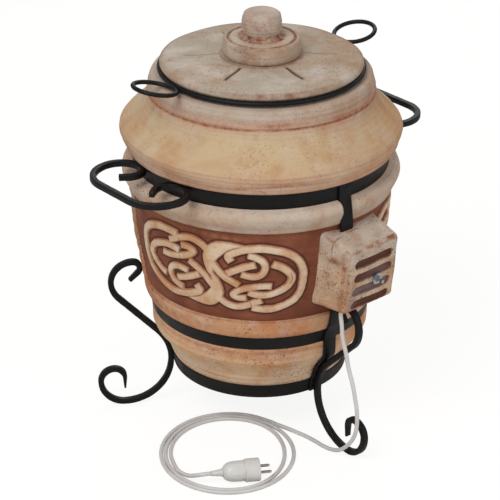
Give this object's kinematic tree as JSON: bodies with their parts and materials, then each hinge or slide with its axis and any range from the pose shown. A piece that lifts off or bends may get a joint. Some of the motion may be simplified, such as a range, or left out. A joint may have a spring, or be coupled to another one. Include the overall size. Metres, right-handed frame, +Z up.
{
  "type": "clay tandoor oven",
  "caption": "Electric clay tandoor oven on three scroll legs, with carrying handles, lift-off clay lid and vent lid, terminal box, mains cord and plug.",
  "frame": {"origin": "on the floor, at the middle of the pot and its frame", "axes": "+Z up, -Y towards the viewer of the picture, +X to the viewer's right"},
  "size_m": [0.5594, 0.5912, 0.72],
  "materials": {
    "fired_clay": "matt, hand finished, stained brown in the grooves",
    "black_paint": "matt black stove paint on forged steel",
    "zinc_plate": "bright zinc plate",
    "steatite": "white unglazed steatite",
    "brass": "plain",
    "heater_steel": "heat tinted stainless steel",
    "dark_rubber": "matt",
    "white_pvc": "smooth, slightly glossy",
    "white_plastic": "moulded",
    "nickel": "nickel plated"
  },
  "bodies": {
    "oven": {"clay_body": "fired_clay", "top_hoop": "black_paint", "mid_hoop": "black_paint", "bottom_hoop": "black_paint", "strap_front": "black_paint", "strap_rear": "black_paint", "leg_front": "black_paint", "leg_left": "black_paint", "leg_rear": "black_paint", "handle_left": "black_paint", "handle_right": "black_paint", "base_cross": "black_paint", "terminal_cover": "fired_clay", "mounting_plate": "zinc_plate", "cover_stud": "zinc_plate", "cover_washer": "zinc_plate", "cover_nut": "zinc_plate", "terminal_block": "steatite", "terminal_screws": "brass", "heater_lower": "heater_steel", "heater_upper": "heater_steel", "heater_clips": "heater_steel", "inner_cable": "white_pvc", "cord_relief": "dark_rubber", "cord_lead": "white_pvc", "cord_coil": "white_pvc", "cord_tail": "white_pvc", "plug_relief": "white_pvc", "plug_body": "white_plastic", "plug_pins": "nickel"},
    "lid": {"main_lid": "fired_clay", "lid_hoop": "black_paint", "lid_ring_left": "black_paint", "lid_ring_right": "black_paint"},
    "vent": {"vent_plug": "fired_clay"}
  },
  "joints": [
    {"name": "lid_lift", "type": "slide", "parent": "oven", "child": "lid", "axis": [0, 0, 1], "range_m": [0, 0.25]},
    {"name": "vent_lift", "type": "slide", "parent": "lid", "child": "vent", "axis": [0, 0, 1], "range_m": [0, 0.12]}
  ]
}
